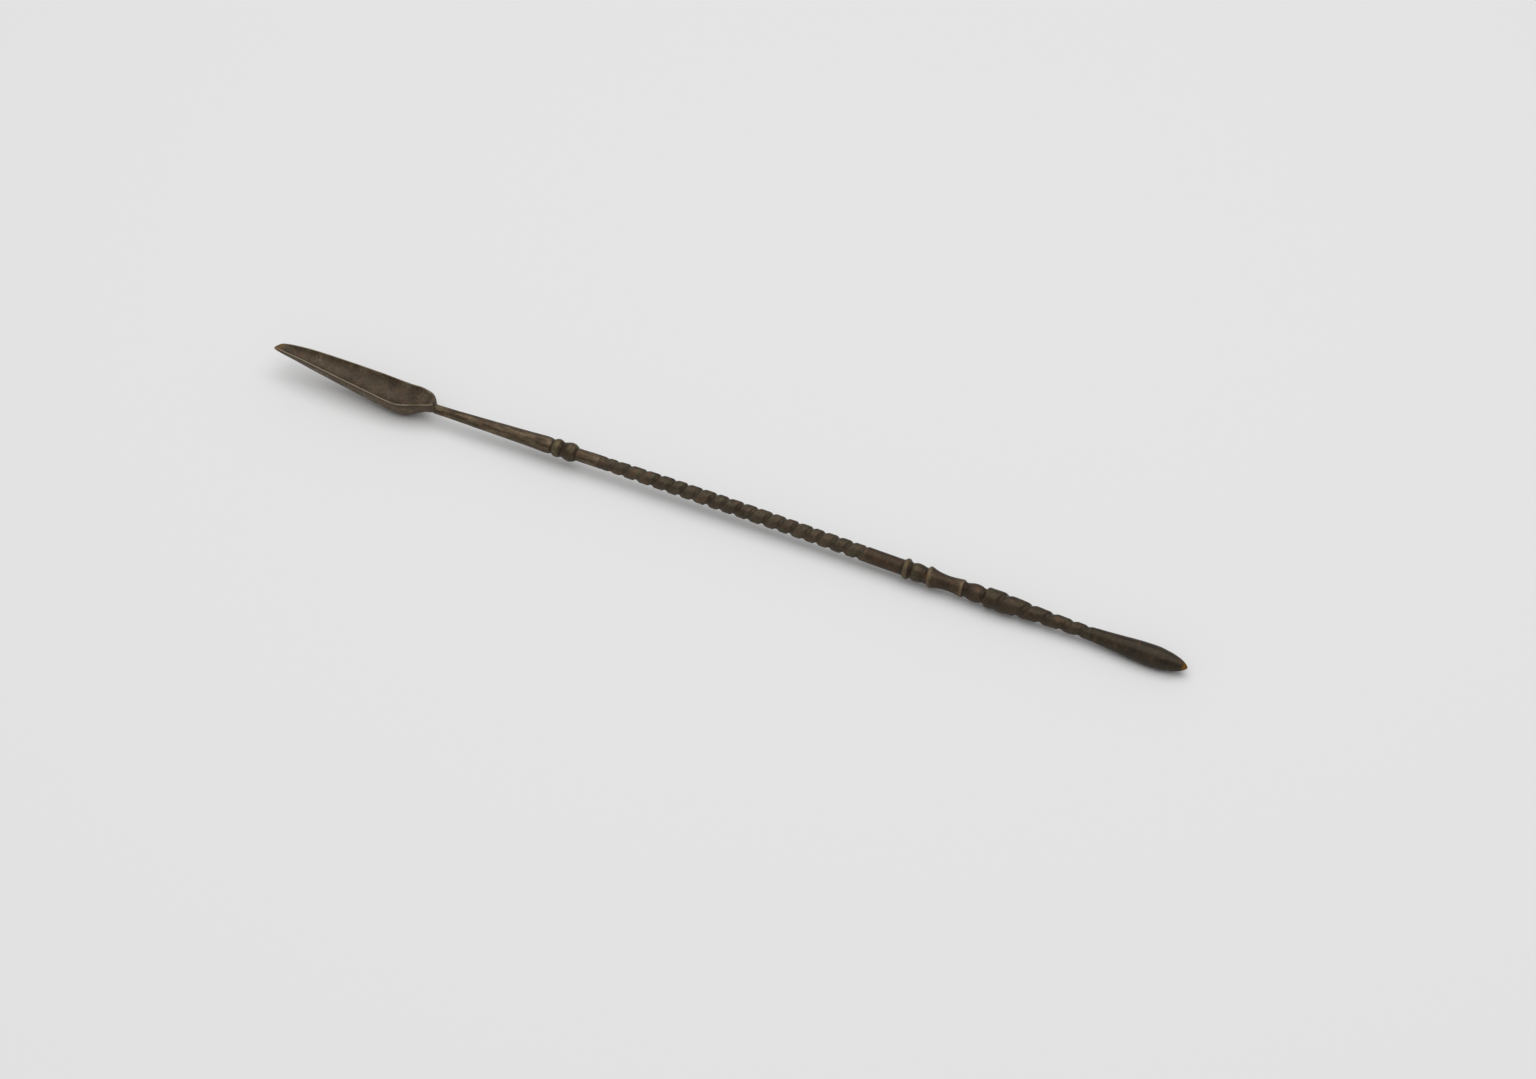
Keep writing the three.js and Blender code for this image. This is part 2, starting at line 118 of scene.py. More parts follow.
def height_of(x):
    """Height of the bar's middle line over the table: straight from belly to belly, and slightly bowed."""
    share = (x - scoop_belly) / (olive_belly - scoop_belly)
    return scoop_belly_height + (olive_belly_height - scoop_belly_height) * share + rise_of(x)


def bent(x, sideways, upwards):
    """Points of the straight bar carried to their places on the slightly bent one, in metres."""
    step = 0.01
    side_slope = (side_of(x + step) - side_of(x - step)) / (2 * step)
    rise_slope = (height_of(x + step) - height_of(x - step)) / (2 * step)
    tangent = np.stack([np.ones_like(x), side_slope, rise_slope], -1)
    tangent /= np.linalg.norm(tangent, axis=-1, keepdims=True)
    side = np.stack([-tangent[..., 1], tangent[..., 0], np.zeros_like(x)], -1)
    side /= np.linalg.norm(side, axis=-1, keepdims=True)
    up = np.cross(tangent, side)
    centre = np.stack([x, side_of(x), height_of(x)], -1)
    place = centre + side * sideways[..., None] + up * upwards[..., None]
    place += np.array([-bar_middle, bar_side_shift, 0.0])
    # What would dip into the table becomes the flat on which the bar rests.
    place[..., 2] = np.maximum(place[..., 2], 0.0)
    return place * mm


def skin(name, rings, wear_and_painted_light, amber):
    """A closed mesh over rings of points, capped at both ends, keeping its wear with painted light, and
    its bare metal, as attributes.
    """
    count, around = rings.shape[:2]
    i, j = np.meshgrid(np.arange(count - 1), np.arange(around), indexing="ij")
    after = (j + 1) % around
    quads = [i * around + j, i * around + after, (i + 1) * around + after, (i + 1) * around + j]
    faces = np.stack(quads, -1).reshape(-1, 4).tolist()
    first_middle, last_middle = count * around, count * around + 1
    j = np.arange(around)
    after = (j + 1) % around
    last_ring = (count - 1) * around
    caps = np.stack([np.full(around, first_middle), after, j], -1).tolist()
    caps += np.stack([np.full(around, last_middle), last_ring + j, last_ring + after], -1).tolist()
    middles = np.array([rings[0].mean(0), rings[-1].mean(0)])
    points = np.concatenate([rings.reshape(-1, 3), middles])
    mesh = bpy.data.meshes.new(name)
    mesh.from_pydata(points.tolist(), [], faces + caps)
    smooth = np.zeros(len(faces) + len(caps), dtype=bool)
    smooth[: len(faces)] = True
    mesh.polygons.foreach_set("use_smooth", smooth)
    for title, value in (("wear_and_painted_light", wear_and_painted_light), ("amber", amber)):
        attribute = mesh.attributes.new(title, "FLOAT", "POINT")
        full = np.concatenate([value.reshape(-1), [value[0].mean(), value[-1].mean()]])
        attribute.data.foreach_set("value", full.astype(np.float32))
    piece = bpy.data.objects.new(name, mesh)
    bpy.context.scene.collection.objects.link(piece)
    return piece


def srgb(red, green, blue):
    """A colour as it is seen on a screen, in the numbers that a shader takes."""
    return [((c / 255 + 0.055) / 1.055) ** 2.4 for c in (red, green, blue)] + [1.0]


green_rust = srgb(86, 96, 66)
red_rust = srgb(112, 78, 54)
bare_metal = srgb(120, 84, 20)


def bronze(name, deep, brown, rubbed_and_highlight, roughness, green=0.0, metallic=0.45, streaks=0.0, red=0.25):
    """Patinated bronze: dark in hollows and painted shade, brown between, light on rubbed crests and
    painted highlights, with green and red spots.
    """
    material = bpy.data.materials.new(name)
    material.use_nodes = True
    nodes, links = material.node_tree.nodes, material.node_tree.links
    shader = nodes["Principled BSDF"]
    place = nodes.new("ShaderNodeTexCoord").outputs["Object"]
    # File strokes run along the bar, so the noise for them is drawn out that way.
    stroke_stretch = 0.16
    drawn_out = nodes.new("ShaderNodeMapping")
    drawn_out.inputs["Scale"].default_value = [stroke_stretch, 1.0, 1.0]
    links.new(place, drawn_out.inputs["Vector"])

    def noise(scale, detail, vector=place):
        """Noise with the given number of features in a metre."""
        node = nodes.new("ShaderNodeTexNoise")
        node.inputs["Scale"].default_value = scale
        node.inputs["Detail"].default_value = detail
        links.new(vector, node.inputs["Vector"])
        return node.outputs["Fac"]

    def number(operation, a, b, clamp=False):
        """A sum or product of two values, each of them linked or plain."""
        node = nodes.new("ShaderNodeMath")
        node.operation = operation
        node.use_clamp = clamp
        for socket, value in zip(node.inputs, (a, b)):
            if isinstance(value, (int, float)):
                socket.default_value = value
            else:
                links.new(value, socket)
        return node.outputs[0]

    def spread(value, to_low, to_high, low=0.3, high=0.7):
        """Noise stretched over a range of its own; most of it lies between 0.3 and 0.7."""
        node = nodes.new("ShaderNodeMapRange")
        links.new(value, node.inputs["Value"])
        ends = {"From Min": low, "From Max": high, "To Min": to_low, "To Max": to_high}
        for title, end in ends.items():
            node.inputs[title].default_value = end
        return node.outputs["Result"]

    def laid_over(under, over, share):
        """A plain colour laid over a linked one; a mix node's colour sockets go by their places."""
        colour_under, colour_over, colour_result = 6, 7, 2
        node = nodes.new("ShaderNodeMix")
        node.data_type = "RGBA"
        links.new(share, node.inputs[0])
        links.new(under, node.inputs[colour_under])
        node.inputs[colour_over].default_value = over
        return node.outputs[colour_result]

    def kept_on_mesh(title):
        """What the mesh says of each of its points."""
        node = nodes.new("ShaderNodeAttribute")
        node.attribute_name = title
        return node.outputs["Fac"]

    blotches = noise(scale=420, detail=5)
    grain = noise(scale=2600, detail=4)
    wear_and_painted_light = kept_on_mesh("wear_and_painted_light")
    amber = kept_on_mesh("amber")
    patchy = number("ADD", wear_and_painted_light, spread(blotches, -0.22, 0.22))
    strokes = noise(scale=1900, detail=3, vector=drawn_out.outputs["Vector"])
    patchy = number("ADD", patchy, spread(strokes, -streaks, streaks, low=0.35, high=0.65))
    patchy = number("ADD", patchy, spread(grain, -0.14, 0.14), clamp=True)
    # The ramp's light end serves rubbed crests and painted highlights, its dark end hollows and painted
    # shade.
    ramp = nodes.new("ShaderNodeValToRGB")
    links.new(patchy, ramp.inputs["Fac"])
    ramp.color_ramp.elements[0].position = 0.12
    ramp.color_ramp.elements[0].color = deep
    ramp.color_ramp.elements[1].position = 0.92
    ramp.color_ramp.elements[1].color = rubbed_and_highlight
    ramp.color_ramp.elements.new(0.5).color = brown
    green_spots = spread(noise(scale=650, detail=6), 0.0, green, low=0.58, high=0.7)
    colour = laid_over(ramp.outputs["Color"], green_rust, green_spots)
    red_spots = spread(noise(scale=880, detail=4), 0.0, red, low=0.55, high=0.68)
    colour = laid_over(colour, red_rust, red_spots)
    worn_through = number("MULTIPLY", amber, spread(grain, 0.7, 1.0), clamp=True)
    colour = laid_over(colour, bare_metal, worn_through)
    links.new(colour, shader.inputs["Base Color"])
    shader.inputs["Metallic"].default_value = metallic
    shader.inputs["Specular IOR Level"].default_value = 0.3
    links.new(spread(blotches, *roughness), shader.inputs["Roughness"])
    blotch_height = 1.5
    bump = nodes.new("ShaderNodeBump")
    bump.inputs["Strength"].default_value = 0.55
    bump.inputs["Distance"].default_value = 0.00003
    height = number("ADD", grain, number("MULTIPLY", blotches, blotch_height))
    links.new(height, bump.inputs["Height"])
    links.new(bump.outputs["Normal"], shader.inputs["Normal"])
    return material


def finish_piece(piece, node, material):
    """Give a piece its bronze and put it in the place of its solid."""
    piece.data.materials.append(material)
    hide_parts(node)
    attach(piece, "root")


scoop_widest = 24.3
heel_end = 30.9
half_width = curve_through(
    (0, 0.2), (0.97, 0.7), (2.92, 1.14), (9.72, 1.88), (18.22, 2.54), (scoop_widest, 2.868),
    (26.61, 2.66), (28.0, 2.3), (29.0, 1.98), (30.0, 1.6), (30.5, 1.3), (heel_end, 0.93),
    (scoop_length, 0.75),
)
rim_height = curve_through(
    (0, 1.35), (1.0, 1.95), (1.94, 2.14), (6.1, 2.26), (12.15, 1.92), (19.44, 1.37),
    (scoop_widest, 0.93), (27.6, 1.14), (heel_end, 1.4), (scoop_length, 0.75),
)
keel_height = curve_through(
    (0, 0.95), (3.84, 0.48), (8.0, -0.3), (12.0, -1.0), (17.92, -2.0), (scoop_belly, -3.02),
    (27.56, -2.25), (29.52, -1.2), (scoop_length, -0.75),
)

# Its rings of points stand closest at the tip and the heel, where the form turns fastest.
scoop_turn = np.linspace(0, np.pi, 170)
heel_rings = np.linspace(28.5, 31.15, 40)
along = np.concatenate([scoop_length * (1 - np.cos(scoop_turn)) / 2, heel_rings])
along = np.sort(along)[:, None]
half = half_width(along)
rim = rim_height(along)
keel = keel_height(along)

# The rim's edge is rounded, less so where the scoop is narrow, and beyond the heel it closes into the
# round neck.
edge_round = 0.09
least_edge = 0.2
narrow_half = 0.6
closing = ease((along - heel_end) / (scoop_length - heel_end))
edge = edge_round * (1 - closing) * np.clip(half / narrow_half, least_edge, 1)
waist = (rim - edge) * (1 - closing)

# The outside is half an ellipse, hung from the rim.
under_points = 61
phi = np.linspace(0, np.pi, under_points)[None, :]
under_side = half * np.cos(phi)
under_up = waist - (waist - keel) * np.sin(phi)

# The top runs from rim to rim, and its points crowd towards both.
top_points = 97
crowding = 0.15
nearest_rim = 0.999
share = -np.cos(np.linspace(0, np.pi, top_points)[1:-1])[None, :]
share = share * (1 + crowding - crowding * share**2)
share = np.clip(share, -nearest_rim, nearest_rim)
top_side = half * share
steepest_flare = 1.2
flare = np.gradient(half[:, 0], along[:, 0])[:, None].clip(-steepest_flare, steepest_flare)
inset = (half - np.abs(top_side)) / np.hypot(1, flare)
rounded = np.sqrt(np.clip(edge**2 - np.clip(edge - inset, 0, None) ** 2, 0, None))

# The hollow lies within a lip that thickens to the heel's wall. It fades in after the tip and ends in a
# short slope at the heel.
lip_width = 0.17
heel_wall = 0.42
least_hollow = 0.05
hollow_share = 0.52
hollow_fullness = 1.15
hollow_start = 0.6
hollow_fade = 3.5
hollow_end = 30.3
heel_slope_run = 3.6
lip = lip_width + (heel_wall - lip_width) * ease((along - scoop_widest) / (heel_end - scoop_widest))
inner = np.clip((inset - lip) / np.clip(half - lip, least_hollow, None), 0, 1)
bowl = np.sqrt(np.clip(1 - (1 - inner) ** 2, 0, 1)) ** hollow_fullness
heel_slope = np.clip((hollow_end - along) / heel_slope_run, 0, 1)
heel_slope = np.sqrt(1 - (1 - heel_slope) ** 2)
fade_in = ease((along - hollow_start) / hollow_fade)
depth = hollow_share * (rim - keel) * bowl * heel_slope * fade_in
dome = (rim - waist) * np.sqrt(np.clip(1 - share**2, 0, 1))
top_up = np.where(closing > 0, waist + dome, waist + rounded - depth)

# The point turns to the far side, and the heel does so a little.
tip_askew = 0.75
tip_turn = 1.2
heel_askew = 0.3
heel_turn_start = 25
heel_turn_run = 3
heel_return_run = 2
askew = tip_askew * (1 - along / scoop_length) ** tip_turn
heel_turn = ease((along - heel_turn_start) / heel_turn_run)
askew = askew + heel_askew * heel_turn * ease((scoop_length - along) / heel_return_run)
side = np.concatenate([under_side, top_side], 1)[:, ::-1]
upward = np.concatenate([under_up, top_up], 1)[:, ::-1]
rings = bent(np.broadcast_to(along, side.shape), side + askew, upward)

# Wear runs from 0, darkest, to 1, lightest, and carries painted light as well. Painted shade lies in a
# line under the rim, the lip is rubbed and painted with a highlight, most away from the heel, the hollow's
# far wall is painted lighter towards its rim, and the hollow a little lighter towards the heel.
under_level = 0.48
rim_shade_width = 0.26
rim_sliver = 0.01
lip_wear_and_highlight_level = 0.98
lip_heel_loss = 0.4
hollow_level = 0.29
far_wall_painted_light = 0.33
hollow_heel_painted_light = 0.03
lip_change_start = 26
lip_change_run = 3
hollow_change_start = 22
hollow_change_run = 5
below_rim = waist - under_up
# A dark line just under the rim is painted shade.
painted_rim_shade = np.exp(-((below_rim / rim_shade_width) ** 2)) * (below_rim > rim_sliver)
under_wear_and_rim_shade = under_level - under_level * painted_rim_shade
# The lip's light tone is rubbed metal with a painted highlight on it.
lip_wear_and_highlight = lip_wear_and_highlight_level - lip_heel_loss * ease((along - lip_change_start) / lip_change_run)
# The far wall of the hollow is painted lighter towards its rim, where light falls on it.
hollow_tone_and_painted_light = hollow_level + far_wall_painted_light * (1 - bowl) * (top_side > 0)
heelwards = ease((along - hollow_change_start) / hollow_change_run)
# Towards the heel the hollow is painted a little lighter, against the shade at its end.
hollow_tone_and_painted_light = hollow_tone_and_painted_light + hollow_heel_painted_light * heelwards
top_wear_and_painted_light = np.where(inset < lip, lip_wear_and_highlight, hollow_tone_and_painted_light)
scoop_wear_and_painted_light = np.concatenate([under_wear_and_rim_shade, top_wear_and_painted_light], 1)[:, ::-1]
tip_bareness = 0.7
tip_bare_end = 2.4
tip_bare_fade = 2.0
tip_bare = tip_bareness * ease((tip_bare_end - along) / tip_bare_fade)
scoop_amber = np.broadcast_to(tip_bare, side.shape)
scoop = skin("scoop_body", rings, scoop_wear_and_painted_light, scoop_amber)
scoop_bronze = bronze(
    "scoop_bronze", srgb(60, 49, 38), srgb(90, 77, 60), srgb(138, 126, 108),
    roughness=(0.5, 0.66), green=0.15, metallic=0.3,
)
finish_piece(scoop, "scoop_bowl", scoop_bronze)


# The neck: a plain round taper of the same bronze, thickening from the scoop to a rounded shoulder.
# It was drawn and filed smooth. Long file strokes leave it a little uneven, and handling has left it
# lighter than the mouldings.
def bar_piece(name, start, end, radius, step=0.1, stations=None, amber=None, level=0.5, relief=0.16):
    """A closed stretch of the bar whose radius follows the station and the angle round it.

    The angle is counted upwards from the bar's far side. Wear is the given level, more on crests
    and less in hollows by the share that their height is of the relief. Crests are lightened fully on top
    of the bar, wear with a painted highlight there, and less on its sides and below.
    """
    points_around = 96
    reach = 0.5
    crest_share_off_top = 0.4
    if stations is None:
        stations = np.linspace(start, end, int(round((end - start) / step)) + 1)
    angles = np.linspace(0, 2 * np.pi, points_around, endpoint=False)
    x, theta = np.broadcast_arrays(stations[:, None], angles[None, :])
    r = radius(x, theta)
    shifts = (-reach, -reach / 2, 0, reach / 2, reach)
    usual = sum(radius(x + shift, theta) for shift in shifts) / len(shifts)
    # Crests facing up are lightened most: a painted highlight laid on their wear.
    crest_wear_and_top_highlight = crest_share_off_top + (1 - crest_share_off_top) * np.clip(np.sin(theta), 0, 1)
    crest_wear_and_highlight_scale = np.where(r > usual, crest_wear_and_top_highlight, 1.0)
    wear_and_painted_light = np.clip(level + crest_wear_and_highlight_scale * (r - usual) / relief, 0, 1)
    amber = amber(x) if amber else np.zeros_like(x)
    return skin(name, bent(x, r * np.cos(theta), r * np.sin(theta)), wear_and_painted_light, amber)


def hand_work(x, theta, size=0.012):
    """The slight unevenness that a file leaves on a turned or drawn bar: three crossing waves."""
    waves = [(1.0, 0.83, 2, 0.4), (0.7, 1.9, -3, 1.9), (0.5, 3.7, 1, 5.1)]
    swell = sum(
        weight * np.sin(lengthwise * x + round_about * theta + start)
        for weight, lengthwise, round_about, start in waves
    )
    return size * swell / sum(weight for weight, *_ in waves)


def fade_ends(x, start, end, run=0.4):
    """Nothing at both ends of a stretch, so that it meets its neighbours, and all of it between."""
    return ease((x - start) / run) * ease((end - x) / run)


neck_end = 53.2
neck_outline = curve_through(
    (scoop_length, 1.61), (36.2, 1.77), (39.8, 1.99), (43.4, 2.18), (46.9, 2.39), (50.5, 2.66),
    (51.7, 2.78), (52.4, 2.73), (52.9, 2.53), (neck_end, 2.31),
)


def neck_radius(x, theta):
    return neck_outline(x) / 2 + hand_work(x, theta) * fade_ends(x, scoop_length, neck_end)


shaft_bronze = bronze(
    "shaft_bronze", srgb(60, 48, 36), srgb(84, 71, 54), srgb(112, 98, 77),
    roughness=(0.34, 0.5), green=0.12, metallic=0.6, streaks=0.3,
)
neck = bar_piece("neck_taper", scoop_length, neck_end, neck_radius, level=0.44)
finish_piece(neck, "tapered_neck", shaft_bronze)

# The neck's collar and bead: a half-round ring and a fuller bead beside it, turned on the bronze bar.
# Their throats hold dark dirt, their crowns are rubbed and on top carry a painted highlight, and they keep
# more green spots than the rest.
bead_start = 55.0
collar_outline = curve_through(
    (neck_end, 2.33), (53.4, 2.63), (53.65, 2.93), (54.07, 3.1), (54.5, 2.93), (54.75, 2.65),
    (bead_start, 2.47),
)
bead_outline = curve_through(
    (bead_start, 2.47), (55.2, 2.6), (55.56, 2.83), (55.9, 3.04), (56.43, 3.21), (56.95, 3.01),
    (57.3, 2.69), (57.6, 2.25), (front_shank_start, 2.13),
)


def collar_radius(x, theta):
    return collar_outline(x) / 2 + hand_work(x, theta, size=0.008) * fade_ends(x, neck_end, bead_start)


def bead_radius(x, theta):
    uneven = hand_work(x, theta, size=0.015) * fade_ends(x, bead_start, front_shank_start)
    return bead_outline(x) / 2 + uneven


moulding_bronze = bronze(
    "moulding_bronze", srgb(50, 40, 29), srgb(70, 59, 44), srgb(96, 84, 63),
    roughness=(0.38, 0.52), green=0.4, metallic=0.6,
)
collar = bar_piece("neck_ring", neck_end, bead_start, collar_radius, step=0.05)
finish_piece(collar, "neck_collar", moulding_bronze)
bead = bar_piece("neck_boss", bead_start, front_shank_start, bead_radius, step=0.05, level=0.38)
finish_piece(bead, "neck_bead", moulding_bronze)

# The short plain shank between the bead and the grip: the bronze bar left round, filed smooth, and
# thinnest by the bead. It is rubbed by the fingers and keeps a light brown skin.
grip_start = 61.9
front_shank_thin = 1.065
front_shank_gain = 0.045


def front_shank_radius(x, theta):
    share = (x - front_shank_start) / (grip_start - front_shank_start)
    uneven = hand_work(x, theta, size=0.01) * fade_ends(x, front_shank_start, grip_start)
    return front_shank_thin + front_shank_gain * share + uneven


front_shank = bar_piece("front_shank_bar", front_shank_start, grip_start, front_shank_radius)
finish_piece(front_shank, "front_shank", shaft_bronze)

# The grip: one left-handed groove round the bronze bar, cut by eye with a file, so its pitch wanders.
# Going towards the olive, the bar falls steeply into each groove and rises more gently out of it.
# The grooves are a little darker than the lands, and the whole grip is specked with green and red.
grip_end = 110.3
grip_ridge = curve_through(
    (grip_start, 2.21), (64.1, 2.24), (69.15, 2.37), (71.7, 2.45), (76.7, 2.52), (82, 2.58),
    (88, 2.58), (97, 2.56), (105, 2.55), (grip_end, 2.57),
)
grip_deepness = curve_through(
    (grip_start, 0.0), (62.8, 0.1), (64.7, 0.16), (67, 0.24), (70, 0.29), (107, 0.29),
    (109.4, 0.26), (110.1, 0.0), (grip_end, 0.0),
)

# Notches are where the groove crosses the bar's upper outline, which is 42 degrees up from its far side.
# Each is read from the dip in the outline, and the groove's middle lies beyond it by the lead.
notch_angle = math.radians(42)
notch_lead = 0.29
grip_notches = notch_lead + np.array([
    62.8, 64.7, 67.0, 69.85, 72.5, 75.1, 77.35, 80.0, 82.6, 84.8, 87.5, 89.95, 92.65, 95.1, 97.35,
    99.9, 102.0, 104.5, 106.95, 109.4,
])


def groove_cut(x, theta, notches, falling_width, rising_width):
    """Share of the full cut at each point of a left-handed groove through the given notches."""
    # The groove runs on past the notches, by as many turns at both ends.
    more = np.arange(1, 4)
    before = notches[0] - (notches[1] - notches[0]) * more[::-1]
    after = notches[-1] + (notches[-1] - notches[-2]) * more
    stations = np.concatenate([before, notches, after])
    turns = np.interp(x, stations, np.arange(len(stations)))
    phase = turns + (theta - notch_angle) / (2 * np.pi)
    pitch = np.interp(x, (stations[1:] + stations[:-1]) / 2, np.diff(stations))
    off = (phase - np.round(phase)) * pitch
    width = np.where(off < 0, falling_width, rising_width)
    return (1 + np.cos(np.pi * np.clip(off / width, -1, 1))) / 2


def grip_radius(x, theta):
    # No two cuts of the file are quite as deep.
    wander = 1 + 0.14 * np.sin(1.31 * x + 0.7) + 0.08 * np.sin(0.47 * x + 2 * theta)
    cut = groove_cut(x, theta, grip_notches, falling_width=0.6, rising_width=0.8)
    uneven = hand_work(x, theta, size=0.018) * fade_ends(x, grip_start, grip_end)
    return grip_ridge(x) / 2 - grip_deepness(x) * wander * cut + uneven


grip_bronze = bronze(
    "grip_bronze", srgb(52, 43, 32), srgb(70, 60, 47), srgb(92, 80, 62),
    roughness=(0.42, 0.58), green=0.35, metallic=0.55, red=0.35,
)
grip = bar_piece("grip_twist", grip_start, grip_end, grip_radius, step=0.075, relief=0.9)
finish_piece(grip, "spiral_grip", grip_bronze)

# The rear shank: the bronze bar left plain and round after the last groove, as thick as the grip.
# It was filed smooth like the front one, and has kept a redder brown.
rear_shank_thick = 1.285
rear_shank_loss = 0.005


def rear_shank_radius(x, theta):
    share = (x - grip_end) / (rear_collar_start - grip_end)
    uneven = hand_work(x, theta, size=0.012) * fade_ends(x, grip_end, rear_collar_start)
    return rear_shank_thick - rear_shank_loss * share + uneven


red_bronze = bronze(
    "red_bronze", srgb(50, 39, 30), srgb(68, 55, 42), srgb(98, 82, 63),
    roughness=(0.38, 0.52), green=0.08, metallic=0.6,
)
rear_shank = bar_piece("rear_shank_bar", grip_end, rear_collar_start, rear_shank_radius, level=0.42)
finish_piece(rear_shank, "rear_shank", red_bronze)

# The rear collar and bead: a sharp ring with a low bead behind it, turned on the bronze bar and then
# touched up with a file. The ring stands a few degrees out of square, as filing by hand leaves it.
rear_bead_start = 117.9
spool_start = 120.4
rear_collar_lean = 0.22
rear_collar_outline = curve_through(
    (rear_collar_start, 2.59), (116.55, 2.77), (116.8, 3.2), (117.08, 3.42), (117.35, 3.27),
    (117.6, 2.81), (117.8, 2.57), (rear_bead_start, 2.54),
)
rear_bead_outline = curve_through(
    (rear_bead_start, 2.5), (118.15, 2.71), (118.5, 2.95), (118.9, 3.03), (119.5, 2.89),
    (120.0, 2.66), (spool_start, 2.59),
)


def leaning(x, theta, start, end, lean):
    """Stations of a ring that leans: its upper side lies nearer the scoop by the given millimetres."""
    return x + lean / 2 * np.cos(theta - notch_angle) * fade_ends(x, start, end, run=0.5)


def rear_collar_radius(x, theta):
    at = leaning(x, theta, rear_collar_start, rear_bead_start, rear_collar_lean)
    return rear_collar_outline(at) / 2


def rear_bead_radius(x, theta):
    uneven = hand_work(x, theta, size=0.012) * fade_ends(x, rear_bead_start, spool_start)
    return rear_bead_outline(x) / 2 + uneven


rear_collar = bar_piece(
    "rear_ring", rear_collar_start, rear_bead_start, rear_collar_radius, step=0.05, level=0.6,
)
finish_piece(rear_collar, "rear_collar", moulding_bronze)
rear_bead = bar_piece(
    "rear_boss", rear_bead_start, spool_start, rear_bead_radius, step=0.05, level=0.4,
)
finish_piece(rear_bead, "rear_bead", moulding_bronze)

# The spool: a flared rim falling in a hollow curve to a waist, then rising to a smaller rim that ends
# sharply, turned on the bronze bar. Both rims lean, and their edges are lighter on top, rubbed and with a
# painted highlight, while the waist is dark and reddish.
spool_end = 127.2
spool_lean = 0.52
spool_lean_loss = 0.2
spool_outline = curve_through(
    (spool_start, 2.59), (120.7, 2.86), (121.0, 3.33), (121.25, 3.45), (121.6, 3.23), (122.2, 2.87),
    (123.0, 2.59), (124.3, 2.43), (125.3, 2.53), (126.2, 2.75), (126.8, 2.89), (126.95, 2.83),
    (127.08, 2.51), (spool_end, 2.37),
)


def spool_radius(x, theta):
    lean = spool_lean - spool_lean_loss * (x - spool_start) / (spool_end - spool_start)
    return spool_outline(leaning(x, theta, spool_start, spool_end, lean)) / 2


spool_bronze = bronze(
    "spool_bronze", srgb(50, 39, 30), srgb(66, 53, 40), srgb(104, 88, 67),
    roughness=(0.38, 0.52), green=0.1, metallic=0.6,
)
spool = bar_piece("spool_body", spool_start, spool_end, spool_radius, step=0.05)
finish_piece(spool, "waisted_spool", spool_bronze)

# The bead before the probe: a narrow throat and a smooth oval bead, turned on the bronze bar.
# It is lighter on top, polished by handling and with a painted highlight, and dark in its throats.
twist_start = 130.6
probe_bead_outline = curve_through(
    (spool_end, 2.37), (127.45, 2.33), (127.8, 2.51), (128.4, 2.85), (129.1, 2.96), (129.8, 2.77),
    (130.3, 2.43), (twist_start, 2.33),
)


def probe_bead_radius(x, theta):
    uneven = hand_work(x, theta, size=0.012) * fade_ends(x, spool_end, twist_start)
    return probe_bead_outline(x) / 2 + uneven


probe_bead = bar_piece(
    "probe_boss", spool_end, twist_start, probe_bead_radius, step=0.05, level=0.34,
)
finish_piece(probe_bead, "probe_bead", red_bronze)

# The tapering twist: stout bronze that narrows to the olive, with a few wide turns of a left-handed
# groove. The turns, cut with a file, crowd together as the bar thins, and are a little darker than the
# flat lands.
twist_notches = notch_lead + np.array([134.05, 138.1, 141.8, 145.2, 147.85])
twist_ridge = curve_through(
    (twist_start, 2.35), (130.8, 2.81), (131.0, 3.25), (131.3, 3.33), (133.5, 3.33), (135.1, 3.08),
    (139.2, 2.63), (142.5, 2.36), (146.4, 2.25), (148.0, 2.21), (olive_start, 2.23),
)
twist_deepness = curve_through(
    (twist_start, 0.0), (131.2, 0.0), (132.4, 0.2), (134.05, 0.3), (141.8, 0.27), (146.0, 0.22),
    (148.2, 0.18), (olive_start, 0.0),
)


def twist_radius(x, theta):
    cut = groove_cut(x, theta, twist_notches, falling_width=0.75, rising_width=1.0)
    uneven = hand_work(x, theta, size=0.02) * fade_ends(x, twist_start, olive_start)
    return twist_ridge(x) / 2 - twist_deepness(x) * cut + uneven


twist_bronze = bronze(
    "twist_bronze", srgb(48, 40, 30), srgb(62, 52, 39), srgb(78, 66, 50),
    roughness=(0.38, 0.52), green=0.15, metallic=0.55,
)
twist = bar_piece("twist_bar", twist_start, olive_start, twist_radius, step=0.075, relief=0.8)
finish_piece(twist, "probe_twist", twist_bronze)

# The olive: the working end, a smooth bronze drop filed and burnished to a rounded nose.
# Its dark skin is worn through to amber metal at the very tip, and it rests on its thickest part.
olive_outline = curve_through(
    (olive_start, 2.23), (150, 2.37), (151.2, 2.52), (153.6, 2.9), (155.2, 3.2), (157.5, 3.48),
    (158.8, 3.56), (159.8, 3.55), (160.4, 3.46), (161.0, 3.3), (161.65, 3.1), (162.3, 2.85),
    (162.75, 2.62), (163.4, 2.22), (163.85, 1.86), (164.3, 1.4), (164.6, 1.0), (164.85, 0.56),
    (bar_end, 0.14),
)
bare_nose_start = 164.0
bare_nose_fade = 0.6


def olive_radius(x, theta):
    uneven = hand_work(x, theta, size=0.012) * fade_ends(x, olive_start, bar_end, run=1.0)
    return olive_outline(x) / 2 + uneven


def olive_amber(x):
    return ease((x - bare_nose_start) / bare_nose_fade)


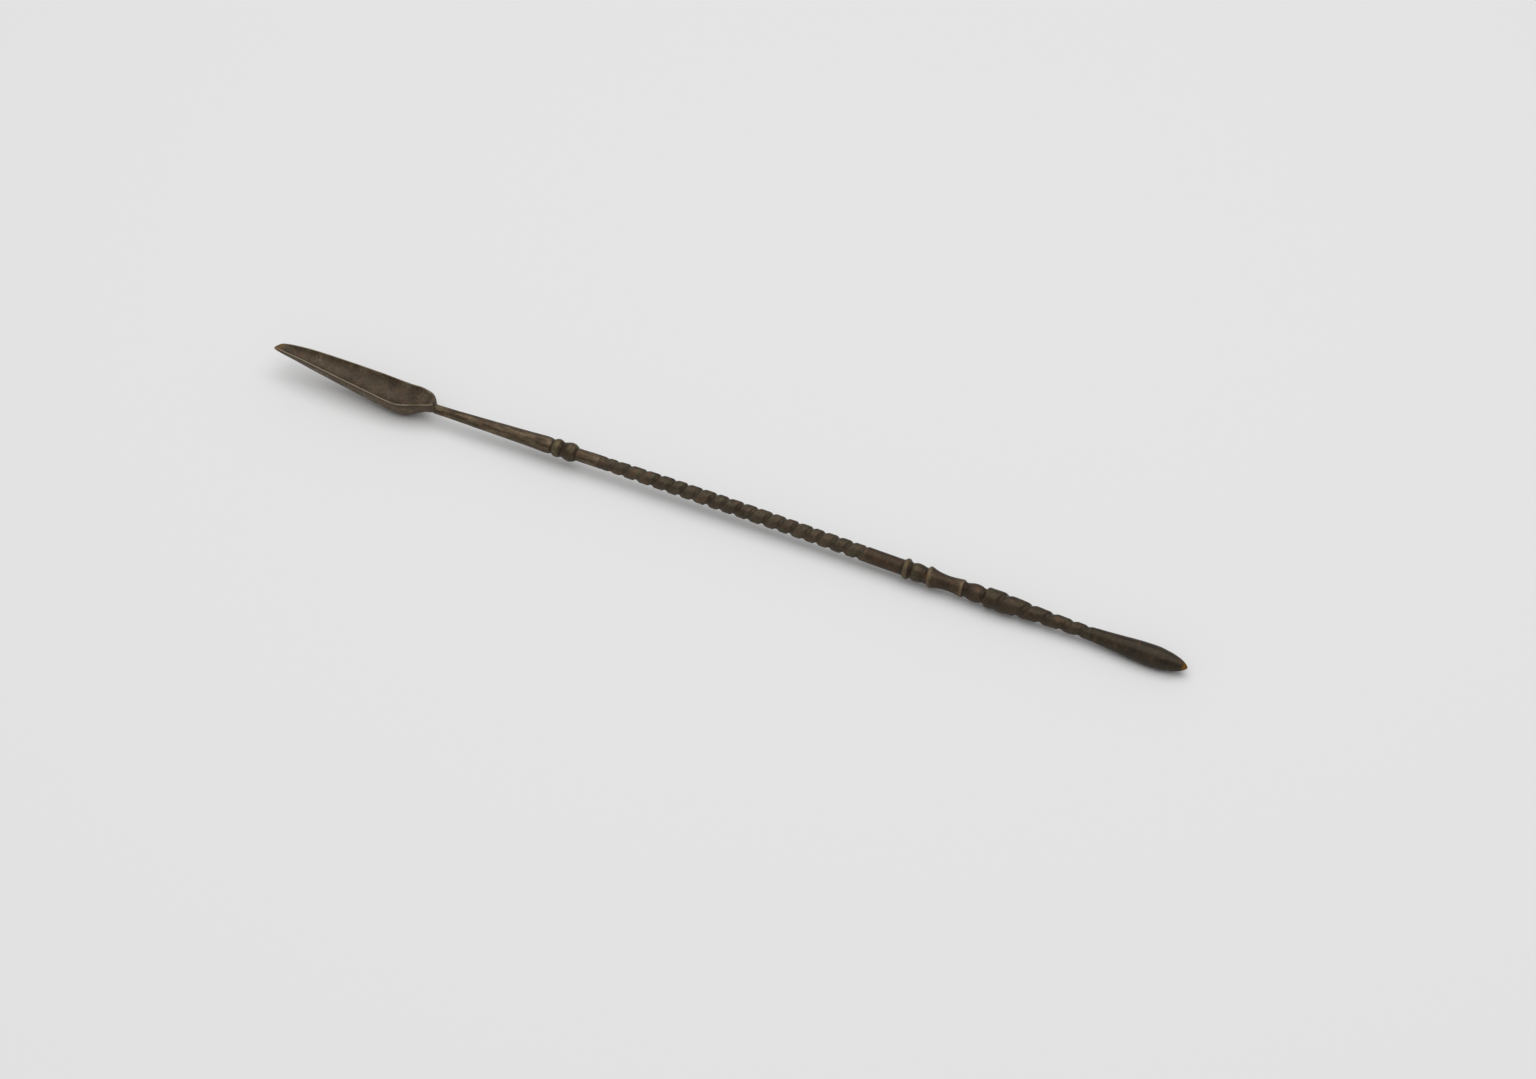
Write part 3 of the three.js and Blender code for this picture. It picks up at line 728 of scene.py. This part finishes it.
olive_bronze = bronze(
    "olive_bronze", srgb(44, 37, 28), srgb(56, 48, 36), srgb(72, 62, 48),
    roughness=(0.34, 0.48), green=0.12, metallic=0.55,
)
olive_stations = np.concatenate([
    np.linspace(olive_start, 162, 110), np.linspace(162.05, bar_end, 60),
])
olive = bar_piece(
    "olive_body", olive_start, bar_end, olive_radius, stations=olive_stations, amber=olive_amber,
    level=0.4,
)
finish_piece(olive, "olive_probe", olive_bronze)

# The stage, in metres: a pale matt table, a broad lamp high overhead and even light from all round.
# The lamp is a little behind the probe, so that its shadow falls softly to the near side.
table_reach = 3
table_corners = [
    (-table_reach, -table_reach, 0), (table_reach, -table_reach, 0),
    (table_reach, table_reach, 0), (-table_reach, table_reach, 0),
]
table_mesh = bpy.data.meshes.new("table")
table_mesh.from_pydata(table_corners, [], [(0, 1, 2, 3)])
table = bpy.data.objects.new("table", table_mesh)
bpy.context.scene.collection.objects.link(table)
table_material = bpy.data.materials.new("pale_table")
table_material.use_nodes = True
table_shader = table_material.node_tree.nodes["Principled BSDF"]
table_shader.inputs["Base Color"].default_value = [0.8, 0.8, 0.8, 1.0]
table_shader.inputs["Roughness"].default_value = 0.9
table_shader.inputs["Specular IOR Level"].default_value = 0.1
table_mesh.materials.append(table_material)

lamp_height = 0.75
lamp_setback = 0.06
lamp_data = bpy.data.lights.new("overhead_lamp", "AREA")
lamp_data.shape = "SQUARE"
lamp_data.size = 1.05
lamp_data.energy = 4.32
lamp = bpy.data.objects.new("overhead_lamp", lamp_data)
lamp.location = (0.0, lamp_setback, lamp_height)
lamp.rotation_euler = (-math.atan2(lamp_setback, lamp_height), 0, 0)
bpy.context.scene.collection.objects.link(lamp)

world = bpy.data.worlds.new("even_light")
world.use_nodes = True
even_light = world.node_tree.nodes["Background"]
even_light.inputs["Color"].default_value = [1.0, 1.0, 1.0, 1.0]
even_light.inputs["Strength"].default_value = 0.5
bpy.context.scene.world = world
bpy.context.scene.view_settings.view_transform = "Standard"
